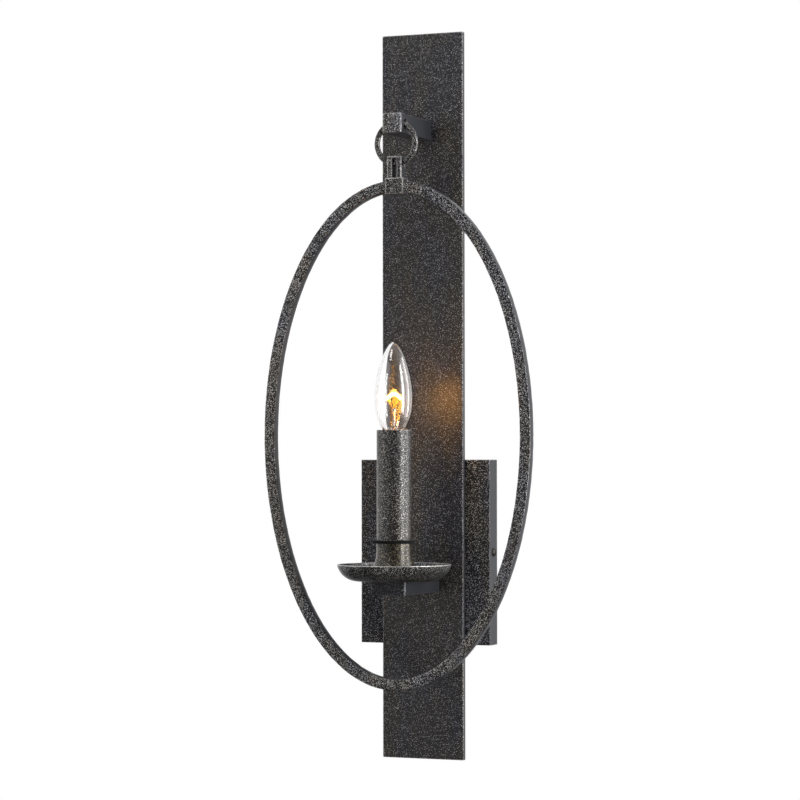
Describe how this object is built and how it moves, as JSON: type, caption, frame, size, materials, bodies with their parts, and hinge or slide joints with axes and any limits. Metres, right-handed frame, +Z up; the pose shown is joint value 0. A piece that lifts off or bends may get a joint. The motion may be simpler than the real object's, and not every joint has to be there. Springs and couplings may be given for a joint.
{
  "type": "wall sconce",
  "caption": "Candle wall sconce: tall flat strip on a small canopy, short arm with dish, cup, sleeve and clear candle bulb, and an oval hoop hung from a bracket by a ring and link.",
  "frame": {"origin": "middle of the two slots in the mounting strap, on the wall plane", "axes": "+Y into the wall, -Y out into the room, +Z up, +X to the right of someone facing the sconce"},
  "size_m": [0.2372, 0.1308, 0.61],
  "materials": {
    "strip_iron": "dark rubbed bronze with fine silver flecks",
    "canopy_iron": "dark bronze, slightly worn",
    "hoop_iron": "dark bronze patina with worn bright edges",
    "arm_iron": "dark rubbed bronze",
    "dish_iron": "dark rubbed bronze with bright silver flecks",
    "cup_bronze": "aged bronze, dark with gold flecks",
    "sleeve_bronze": "dark satin metal, upright brushing",
    "plain_steel": "zinc plated",
    "dark_screw": "dark bronze",
    "plain_brass": "plain brass",
    "socket_plastic": "black moulded",
    "bushing_plastic": "black",
    "connector_plastic": "orange",
    "wire_black": "black insulation",
    "wire_white": "white insulation",
    "wire_green": "green insulation",
    "bulb_clear_glass": "clear, thin",
    "bulb_insulator_glass": "dark glass insulator",
    "filament_gold": "glowing filament"
  },
  "bodies": {
    "wall_parts": {"mounting_strap": "plain_steel", "canopy_pan": "canopy_iron", "side_screw_left": "dark_screw", "side_screw_right": "dark_screw", "ground_screw": "plain_steel", "ground_wire": "wire_green", "ground_connector": "connector_plastic", "back_strip": "strip_iron", "strip_stud_upper": "plain_steel", "strip_stud_lower": "plain_steel", "strip_nut_upper": "plain_steel", "strip_nut_lower": "plain_steel", "wire_bushing": "bushing_plastic", "lower_arm": "arm_iron", "arm_cap": "arm_iron", "candle_nipple": "plain_brass", "arm_nut": "plain_steel", "cup_nut": "plain_brass", "riser_nut": "plain_brass", "drip_dish": "dish_iron", "candle_cup": "cup_bronze", "seat_disc": "arm_iron", "candle_sleeve": "sleeve_bronze", "socket_riser": "plain_steel", "riser_rivet": "plain_brass", "socket_body": "socket_plastic", "socket_shell": "plain_brass", "socket_contact": "plain_brass", "hot_wire": "wire_black", "neutral_wire": "wire_white", "hot_connector": "connector_plastic", "neutral_connector": "connector_plastic", "bulb_base": "plain_brass", "bulb_insulator": "bulb_insulator_glass", "bulb_contact": "plain_brass", "bulb_glass": "bulb_clear_glass", "bulb_stem": "bulb_clear_glass", "bulb_leads": "filament_gold", "bulb_filament": "filament_gold", "upper_bracket": "arm_iron", "bracket_screw_upper": "plain_steel", "bracket_screw_lower": "plain_steel"},
    "ring": {"hanging_ring": "hoop_iron"},
    "link": {"hanger_link": "hoop_iron", "hoop_collar": "hoop_iron"},
    "hoop": {"hoop": "hoop_iron"}
  },
  "joints": [
    {"name": "ring_swing", "type": "hinge", "parent": "wall_parts", "child": "ring", "pos_m": [0, -0.0784, 0.3543], "axis": [1, 0, 0], "range_deg": [-45, 3]},
    {"name": "link_swing", "type": "hinge", "parent": "ring", "child": "link", "pos_m": [0, -0.0784, 0.32198], "axis": [1, 0, 0], "range_deg": [-45, 3]},
    {"name": "hoop_sway", "type": "hinge", "parent": "link", "child": "hoop", "pos_m": [0, -0.0784, 0.24051], "axis": [0, 1, 0], "range_deg": [-8, 8]}
  ]
}
